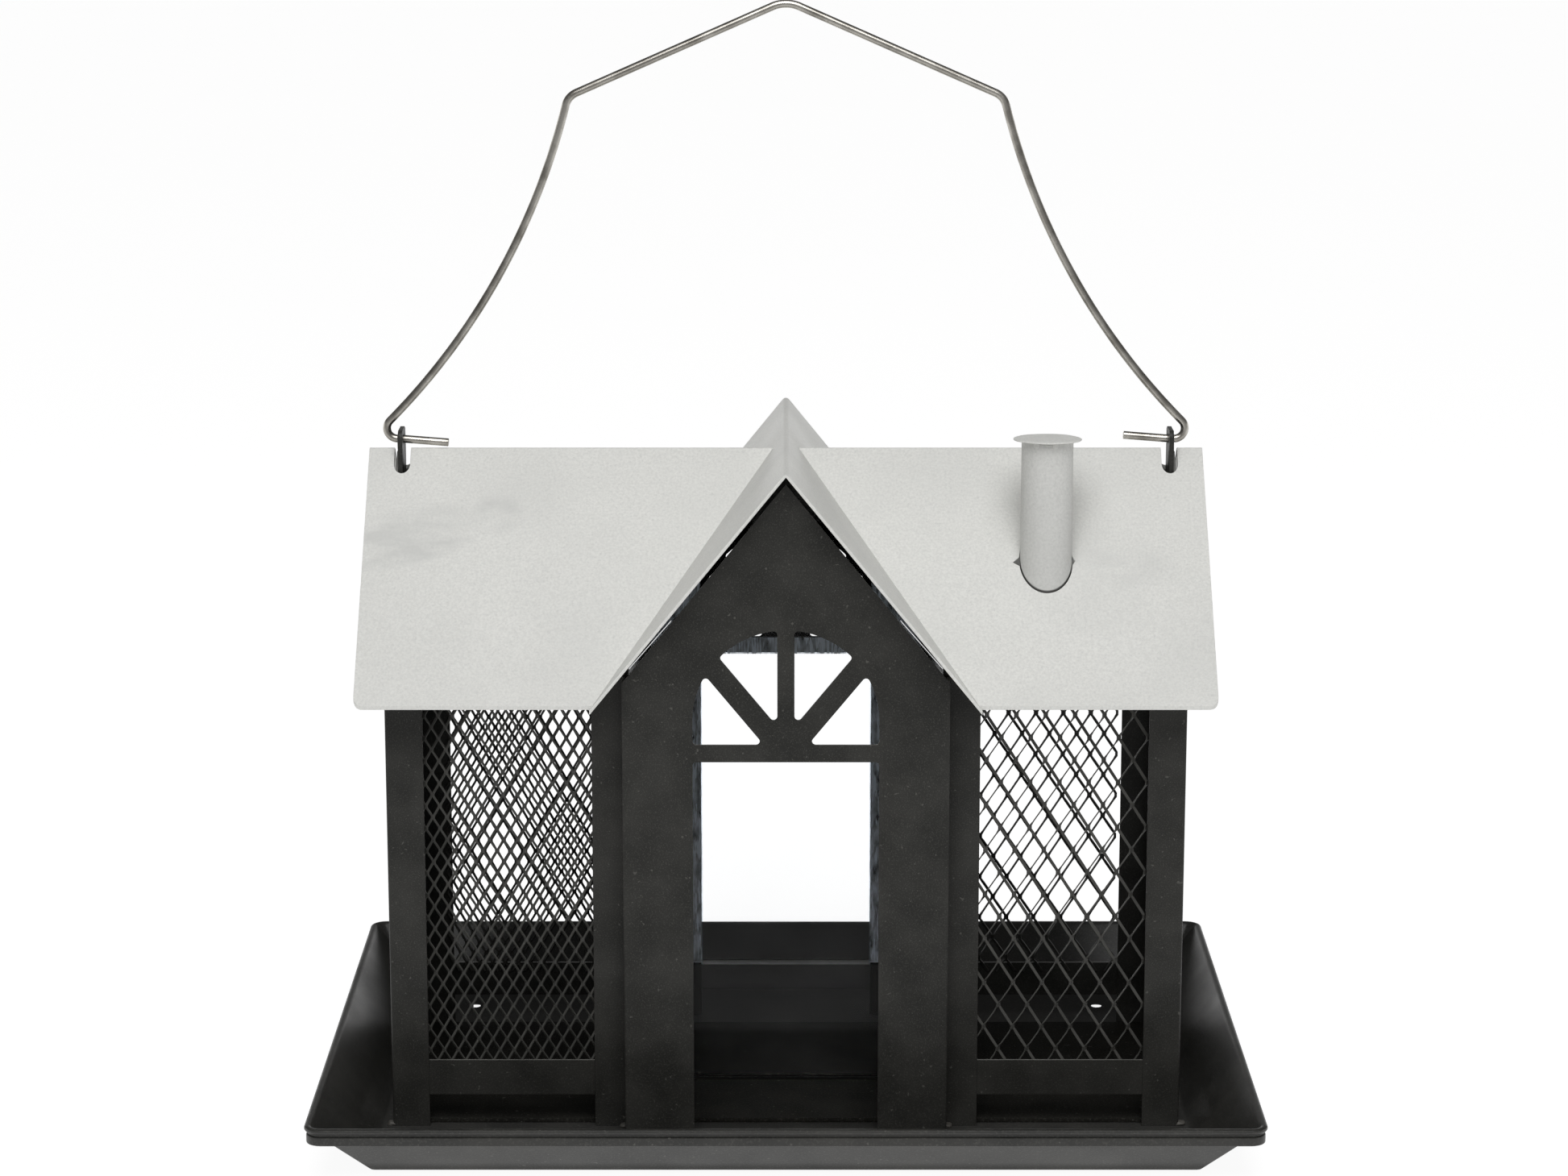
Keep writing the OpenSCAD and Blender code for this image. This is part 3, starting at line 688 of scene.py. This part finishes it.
def ribbon_path(sheet, column, low, high):
    """Points (u, out, z, lean) along one zigzag strand, in mm; lean tells which way it runs."""
    strand = sheet.strand
    half_z = sheet.pitch_z / 2
    left = sheet.tip_u + column * sheet.pitch_u / 2
    right = left + sheet.pitch_u / 2
    across = strand.width / 2 * math.cos(strand.tilt)
    out = strand.width / 2 * math.sin(strand.tilt)
    first = math.floor((low - sheet.tip_z) / half_z) - 1
    last = math.ceil((high - sheet.tip_z) / half_z) + 1
    points = []
    for knot in range(first, last):
        z = sheet.tip_z + knot * half_z
        ends = [(left + across, out), (right - across, -out)]
        here, after = ends if (knot - column) % 2 == 0 else ends[::-1]
        lean = 1 if after[0] > here[0] else -1
        points.append((here[0], here[1], z - strand.bond / 2, 0))
        reach = half_z - strand.bond
        for way in STRAND_STEPS:
            points.append((
                here[0] + (after[0] - here[0]) * way,
                here[1] + (after[1] - here[1]) * way,
                z + strand.bond / 2 + reach * way,
                lean * math.sin(math.pi * way) / math.sin(math.pi * STRAND_STEPS[1]),
            ))
    return clip_path(points, low, high)


def clip_path(points, low, high):
    kept = []
    for a, b in zip(points, points[1:]):
        if b[2] <= low or a[2] >= high or b[2] - a[2] < 1e-6:
            continue
        for level in (max(a[2], low), min(b[2], high)):
            t = (level - a[2]) / (b[2] - a[2])
            point = tuple(p + (q - p) * t for p, q in zip(a, b))
            if not kept or level - kept[-1][2] > 0.02:
                kept.append(point)
    return kept


def add_ribbon(bm, strand, points, place):
    """Strand of rectangular section along the points, twisted as the cut metal is."""
    flat = Vector((math.cos(strand.tilt), math.sin(strand.tilt), 0))
    rings = []
    for i, point in enumerate(points):
        before, after = points[max(i - 1, 0)], points[min(i + 1, len(points) - 1)]
        along = (Vector(after[:3]) - Vector(before[:3])).normalized()
        wide = (flat - along * flat.dot(along)).normalized()
        wide = Matrix.Rotation(strand.twist * point[3], 3, along) @ wide
        deep = along.cross(wide)
        centre = Vector(point[:3])
        wide, deep = wide * strand.width / 2, deep * strand.thick / 2
        rings.append([
            bm.verts.new(place(centre + wide * w + deep * d))
            for w, d in ((-1, -1), (1, -1), (1, 1), (-1, 1))
        ])
    for lower, upper in zip(rings, rings[1:]):
        join_rings(bm, lower, upper)
    bm.faces.new(rings[0])
    bm.faces.new(rings[-1])


def expanded_sheet(node, sheet):
    """Expanded metal in the place of a CAD mesh, its strands tilted by its side of the house."""
    low, high = (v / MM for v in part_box(node))
    faces_x = high.x - low.x < high.y - low.y
    lo_u, hi_u = (low.y, high.y) if faces_x else (low.x, high.x)
    depth = ((low.x + high.x) if faces_x else (low.y + high.y)) / 2
    hand = math.copysign(1, depth) * (-1 if sheet.strand is COARSE else 1)

    def place(p):
        u, out, z = p.x, depth + hand * p.y, p.z
        return Vector((out, u, z) if faces_x else (u, out, z)) * MM

    bm = bmesh.new()
    half = sheet.pitch_u / 2
    column = math.ceil((lo_u - sheet.tip_u) / half)
    while sheet.tip_u + (column + 1) * half <= hi_u:
        add_ribbon(bm, sheet.strand, ribbon_path(sheet, column, low.z, high.z), place)
        column += 1
    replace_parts(new_piece(f"{node}_strands", bm, "mesh_metal", HOUSE, 25), node)


def make_meshes():
    for node, sheet in SHEETS.items():
        expanded_sheet(node, sheet)


# ---------------------------------------------------------------- roofs and chimney

ROOF_SHEET = 1.0
EAVE_CORNER_R, RIDGE_R, GABLE_RIDGE_R = 2.6, 0.9, 1.8
TUBE_WALL, TUBE_EDGE_R, TUBE_FACETS = 0.8, 0.2, 64
CAP_LEAN, CAP_DEPTH, CAP_WOBBLE = 0.05, 1.15, 0.010
CAP_GAP, CAP_CROWN = 0.1, 0.6
CAP_RIM = ((-0.2, 0), (0, 0.15), (0, 0.4), (-0.25, 0.55))
TAB_TURNS = (-118, -76)
TAB_SPREAD, TAB_DROP, TAB_THICK = 6.0, 1.5, 0.3
HOLE_GAP = 0.30
HOLE_SLIT, HOLE_NICK, HOLE_SLIT_TURN = 2.0, 0.9, 5.0


def make_roofs():
    for side in ("left", "right"):
        node = f"{side}_roof"
        low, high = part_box(node)
        end_x = max(abs(low.x), abs(high.x))
        bm = node_mesh(node)
        corners = [
            e for e in sharp_edges(bm)
            if abs(abs(middle(e).x) - end_x) < NEAR and abs(middle(e).y) > high.y - NEAR
            and e.calc_length() < 4 * MM
        ]
        round_edges(bm, corners, EAVE_CORNER_R * MM, 5)
        ridge = [e for e in sharp_edges(bm) if along_ridge(e, "x", high.z)]
        round_edges(bm, ridge, RIDGE_R * MM, 4)
        if side == "right":
            open_chimney_hole(bm)
        round_edges(bm, sharp_edges(bm), ROOF_EDGE_R * MM, 2)
        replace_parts(flat_shading_aid(new_piece(f"{side}_roof_sheet", bm, "roof_paint")), node)
    bm = node_mesh("gable_roof")
    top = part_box("gable_roof")[1].z
    ridge = [e for e in sharp_edges(bm) if along_ridge(e, "y", top)]
    round_edges(bm, ridge, GABLE_RIDGE_R * MM, 6)
    round_edges(bm, sharp_edges(bm), ROOF_EDGE_R * MM, 2)
    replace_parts(flat_shading_aid(new_piece("gable_roof_sheet", bm, "roof_paint")), "gable_roof")


def open_chimney_hole(bm):
    """Leaves a thin gap round the chimney, with a cut running out at each side of the hole."""
    low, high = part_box("chimney_tube")
    centre = (low + high) / 2
    tube_r = (high.x - low.x) / 2
    for vert in bm.verts:
        away = Vector((vert.co.x - centre.x, vert.co.y - centre.y))
        if away.length > tube_r + NEAR:
            continue
        turn = abs(math.degrees(math.atan2(away.y, away.x)))
        on_left, on_right = turn > 180 - HOLE_SLIT_TURN, turn < HOLE_SLIT_TURN
        slit = HOLE_SLIT if on_left else HOLE_NICK if on_right else 0
        push = (HOLE_GAP + slit) * MM
        shift = away.normalized() * push
        vert.co.x += shift.x
        vert.co.y += shift.y
        vert.co.z += shift.y * roof_slope()


def roof_slope():
    """Rise of the main roof's front slope per unit of y, its sheet's thickness left out."""
    low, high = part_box("right_roof")
    rough_slope = (high.z - low.z) / high.y
    return (high.z - low.z - ROOF_SHEET * MM * math.hypot(1, rough_slope)) / high.y


def along_ridge(edge, letter, height):
    return abs(getattr(direction(edge), letter)) > 0.99 and middle(edge).z > height - NEAR


def lathe(bm, centre, profile, facets, wobble=0.0):
    """Turned solid from (radius, height) points in metres; wobble bends its rim a little."""
    rings = []
    for radius, height in profile:
        ring = []
        for k in range(facets):
            turn = 2 * math.pi * k / facets
            across, along = math.cos(turn), math.sin(turn)
            lift = wobble * radius * noise.noise(Vector((across, along, 0.3)) * 1.1)
            ring.append(bm.verts.new((
                centre[0] + radius * across, centre[1] + radius * along, height + lift,
            )))
        rings.append(ring)
    for lower, upper in zip(rings, rings[1:]):
        join_rings(bm, lower, upper)
    return rings


def add_tab(bm, centre, tube_r, top, turn_deg):
    """Short tab bent down from the cap onto the outside of the tube."""
    steps = 3
    sections = []
    for i in range(steps + 1):
        turn = math.radians(turn_deg + TAB_SPREAD * (2 * i / steps - 1))
        drop = TAB_DROP * (1 if 0 < i < steps else 0.7) * MM
        sections.append([
            bm.verts.new((centre[0] + r * math.cos(turn), centre[1] + r * math.sin(turn), z))
            for r, z in (
                (tube_r, top), (tube_r + TAB_THICK * MM, top),
                (tube_r + TAB_THICK * MM, top - drop), (tube_r, top - drop),
            )
        ])
    for first, second in zip(sections, sections[1:]):
        join_rings(bm, first, second)
    bm.faces.new(sections[0])
    bm.faces.new(sections[-1])


def make_chimney():
    low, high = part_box("chimney_tube")
    centre = ((low.x + high.x) / 2, (low.y + high.y) / 2)
    radius = (high.x - low.x) / 2
    inner = radius - TUBE_WALL * MM
    bm = bmesh.new()
    rim = TUBE_EDGE_R * MM
    rings = lathe(bm, centre, [
        (inner, low.z), (radius, low.z),
        (radius, high.z - rim), (radius - rim, high.z), (inner, high.z),
    ], TUBE_FACETS)
    join_rings(bm, rings[-1], rings[0])
    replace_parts(new_piece("chimney_pipe", bm, "roof_paint", finish="chimney_paint"), "chimney_tube")

    low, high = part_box("chimney_cap")
    radius = (high.x - low.x) / 2
    bm = bmesh.new()
    base = high.z - CAP_DEPTH * MM
    plug = inner - CAP_GAP * MM
    rings = lathe(bm, centre, [
        (plug, low.z), (plug, base),
        *((radius + out * MM, base + height * MM) for out, height in CAP_RIM),
        (radius * 0.5, base + CAP_CROWN * MM),
    ], TUBE_FACETS, CAP_WOBBLE)
    bm.faces.new(rings[0])
    bm.faces.new(rings[-1])
    for vert in bm.verts:
        if vert.co.z > base - CAP_DEPTH / 2 * MM:
            vert.co.z -= (vert.co.y - centre[1]) * CAP_LEAN
    for turn_deg in TAB_TURNS:
        add_tab(bm, centre, inner + TUBE_WALL * MM, base, turn_deg)
    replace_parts(new_piece("chimney_lid", bm, "roof_paint"), "chimney_cap")


# ---------------------------------------------------------------- wire bail and welds

LEG_INNER = 109.8
BEND_X = 126.3
BEND_R, BEND_TURN = 3.5, 134.9
SIDE_R, SIDE_TURN = 224.5, 30.4
SHOULDER_R = 6.0
APEX_R, APEX_TURN = 11.0, 23.6
LUG_MIDDLE, LEG_LEAN = 125.2, 0.08
WIRE_SWELL = 0.05
WIRE_FACETS, WIRE_END_R = 20, 0.2


class Route:
    """Points along bent wire in the plane y = 0: straight runs and arcs, in mm and degrees."""

    def __init__(self, x, z, heading):
        self.x, self.z, self.heading = x, z, math.radians(heading)
        self.points = [(x, z)]

    def line(self, length, steps=1):
        for _ in range(steps):
            self.x += length / steps * math.cos(self.heading)
            self.z += length / steps * math.sin(self.heading)
            self.points.append((self.x, self.z))

    def arc(self, radius, turn_deg, steps):
        """Turns left by an angle; a negative one turns right."""
        side = 1 if turn_deg > 0 else -1
        cx = self.x - side * radius * math.sin(self.heading)
        cz = self.z + side * radius * math.cos(self.heading)
        for _ in range(steps):
            self.heading += math.radians(turn_deg) / steps
            self.x = cx + side * radius * math.sin(self.heading)
            self.z = cz - side * radius * math.cos(self.heading)
            self.points.append((self.x, self.z))


def bail_points(pivot_z):
    """Right half of the bail, from its leg's end to the top."""
    half = Route(LEG_INNER, pivot_z, 0)
    half.line(BEND_X - LEG_INNER, 6)
    half.arc(BEND_R, BEND_TURN, 16)
    half.arc(SIDE_R, -SIDE_TURN, 40)
    shoulder_turn = 180 - APEX_TURN - (BEND_TURN - SIDE_TURN)
    half.arc(SHOULDER_R, shoulder_turn, 10)
    rise = (half.x - APEX_R * math.sin(math.radians(APEX_TURN))) / math.cos(math.radians(APEX_TURN))
    half.line(rise, 12)
    half.arc(APEX_R, APEX_TURN, 8)
    return half.points


def sweep_wire(bm, points, radius):
    """Round wire along points (x, z), its cut ends slightly rounded."""
    rings = []
    for i, (x, z) in enumerate(points):
        before, after = points[max(i - 1, 0)], points[min(i + 1, len(points) - 1)]
        along = Vector((after[0] - before[0], 0, after[1] - before[1])).normalized()
        across, sideways = Vector((-along.z, 0, along.x)), Vector((0, 1, 0))
        ring = []
        for k in range(WIRE_FACETS):
            turn = 2 * math.pi * k / WIRE_FACETS
            away = across * math.cos(turn) + sideways * math.sin(turn)
            ring.append(bm.verts.new((Vector((x, 0, z)) + radius * away) * MM))
        rings.append(ring)
    for lower, upper in zip(rings, rings[1:]):
        join_rings(bm, lower, upper)
    caps = [bm.faces.new(rings[0]), bm.faces.new(rings[-1])]
    cap_edges = list({e for cap in caps for e in cap.edges})
    round_edges(bm, cap_edges, WIRE_END_R * MM, 2)


def bent_leg(point, pivot_z):
    """Legs lean a little the same way, so one end is high and the other low."""
    x, z = point
    inside = max(LUG_MIDDLE - abs(x), 0)
    on_leg = abs(z - pivot_z) < 0.01
    return x, z + (LEG_LEAN * math.copysign(inside, x) if on_leg else 0)


def make_bail():
    low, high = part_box("bail")
    radius = (high.y - low.y) / 2 / MM - WIRE_SWELL
    pivot_z = low.z / MM + radius + WIRE_SWELL
    right = bail_points(pivot_z)
    left = [(-x, z) for x, z in right[:-1]]
    bm = bmesh.new()
    sweep_wire(bm, [bent_leg(point, pivot_z) for point in right + left[::-1]], radius)
    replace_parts(new_piece("bail_wire", bm, "wire", BAIL, 40), "bail")


# Tacks' steps from a corner post and from a porch's side, and their sizes
TACK_STEPS = ((0.3, -1.6, 1.8), (0.7, 0.8, 1.6))
TACK_RISE, TACK_FLAT, TACK_LUMPS = 0.4, 0.55, 0.28


def make_welds():
    """Lumpy tacks at the posts' feet and in the porches' corners."""
    chance = random.Random(SEED)
    low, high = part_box("front_right_post")
    post = (high.x, -low.y)
    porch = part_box("front_porch")[1].x
    foot = low.z
    tacks = [
        (x + step_x * MM, post[1] + step_y * MM, size)
        for x, (step_x, step_y, size) in zip((post[0], porch), TACK_STEPS)
    ]
    bm = bmesh.new()
    for sx in (-1, 1):
        for sy in (-1, 1):
            for x, y, size in tacks:
                add_tack(bm, Vector((sx * x, sy * y, foot + TACK_RISE * MM)), size * MM, chance)
    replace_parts(new_piece("weld_tacks", bm, "frame_metal", HOUSE, 60, "weld"), "weld_beads")


def add_tack(bm, centre, size, chance):
    ball = bmesh.ops.create_icosphere(bm, subdivisions=3, radius=size)["verts"]
    shift = Vector((chance.random(), chance.random(), chance.random())) * 10
    for vert in ball:
        swell = 1 + TACK_LUMPS * noise.noise(vert.co / size * 1.4 + shift)
        vert.co = centre + Vector((vert.co.x, vert.co.y, vert.co.z * TACK_FLAT)) * swell


# ---------------------------------------------------------------- studio

def make_floor():
    bm = bmesh.new()
    bmesh.ops.create_grid(bm, x_segments=FLOOR_CELLS, y_segments=FLOOR_CELLS, size=FLOOR_HALF)
    mesh = bpy.data.meshes.new("floor")
    bm.to_mesh(mesh)
    bm.free()
    floor = bpy.data.objects.new("floor", mesh)
    bpy.context.scene.collection.objects.link(floor)
    floor.location.z = CAD_BOX[0][2] - FLOOR_GAP
    mesh.materials.append(pale_floor())


def make_world():
    """Bright round the horizon and behind, as a white sweep is, and dim overhead."""
    world = bpy.data.worlds.new("studio")
    bpy.context.scene.world = world
    world.use_nodes = True
    tree = world.node_tree
    sky = tree.nodes["Background"]
    place = tree.nodes.new("ShaderNodeTexCoord")
    split = tree.nodes.new("ShaderNodeSeparateXYZ")
    tree.links.new(place.outputs["Generated"], split.inputs["Vector"])

    def level(value, low, high, start, end):
        made = tree.nodes.new("ShaderNodeMapRange")
        for key, amount in zip(RANGE_SOCKETS, (value, low, high, start, end)):
            if isinstance(amount, bpy.types.NodeSocket):
                tree.links.new(amount, made.inputs[key])
            else:
                made.inputs[key].default_value = amount
        return made.outputs["Result"]

    sweep = level(split.outputs["Y"], -SWEEP_SPREAD, SWEEP_SPREAD, SWEEP_FRONT, SWEEP_BACK)
    room = level(split.outputs["Y"], -ROOM_SPREAD, ROOM_SPREAD, ROOM_FRONT, ROOM_BACK)
    strength = level(split.outputs["Z"], *SWEEP_TOP, sweep, room)
    tree.links.new(strength, sky.inputs["Strength"])
    sky.inputs["Color"].default_value = SKY_TINT


def add_softbox(name, place, target, size, watts):
    light = bpy.data.lights.new(name, "AREA")
    light.shape = "SQUARE"
    light.size = size
    light.energy = watts
    box = bpy.data.objects.new(name, light)
    bpy.context.scene.collection.objects.link(box)
    box.location = place
    box.rotation_euler = (Vector(target) - Vector(place)).to_track_quat("-Z", "Y").to_euler()


def make_camera():
    camera = bpy.data.cameras.new("photo_camera")
    camera.lens = CAMERA_LENS
    camera.sensor_width = CAMERA_SENSOR
    camera.sensor_fit = "HORIZONTAL"
    camera.shift_x, camera.shift_y = CAMERA_SHIFT
    camera.clip_end = CAMERA_REACH
    holder = bpy.data.objects.new("photo_camera", camera)
    bpy.context.scene.collection.objects.link(holder)
    holder.location = CAMERA_PLACE
    holder.rotation_euler = (CAMERA_TILT, 0, 0)
    bpy.context.scene.camera = holder


make_camera()
MATERIALS = make_materials()
make_frame()
make_lugs()
carry_over()
make_tray()
make_meshes()
make_roofs()
make_chimney()
make_bail()
make_welds()
make_floor()
make_world()
add_softbox("top_light", TOP_LIGHT_PLACE, TOP_LIGHT_TARGET, TOP_LIGHT_SIZE, TOP_LIGHT_WATTS)
bpy.context.scene.view_settings.view_transform = "Standard"
